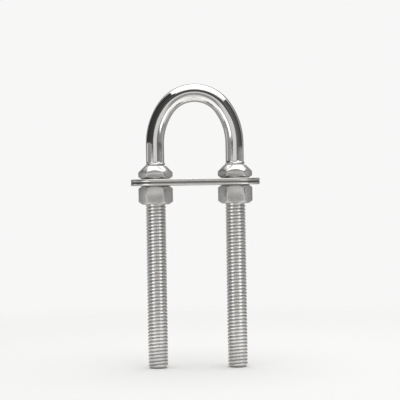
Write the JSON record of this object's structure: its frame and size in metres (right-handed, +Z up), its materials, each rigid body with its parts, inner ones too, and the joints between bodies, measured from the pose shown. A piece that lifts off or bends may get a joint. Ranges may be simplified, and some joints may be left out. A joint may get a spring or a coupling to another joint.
{
  "type": "bow eye",
  "caption": "U-bolt bow eye: polished round eye on long threaded legs, with thin cone nuts, an outer plate, a backing plate and full hex nuts.",
  "frame": {"origin": "midway between the two legs, on the plane where the outer plate and the backing plate meet, which is where the hull is clamped", "axes": "+Z up the legs towards the eye, out of the hull; +X across the legs, to the right in the picture; +Y through the eye, away from the camera"},
  "size_m": [0.0612, 0.0234, 0.1347],
  "materials": {
    "polished_rod": "mirror polished stainless steel rod, satin on the rolled threads",
    "plate_steel": "polished stainless steel plate with tumbled edges",
    "nut_steel": "satin machined stainless steel"
  },
  "bodies": {
    "root": {"u_bolt": "polished_rod", "outer_plate": "plate_steel", "backing_plate": "plate_steel", "outer_nut_left": "nut_steel", "outer_nut_right": "nut_steel", "inner_nut_left": "nut_steel", "inner_nut_right": "nut_steel"}
  },
  "joints": []
}
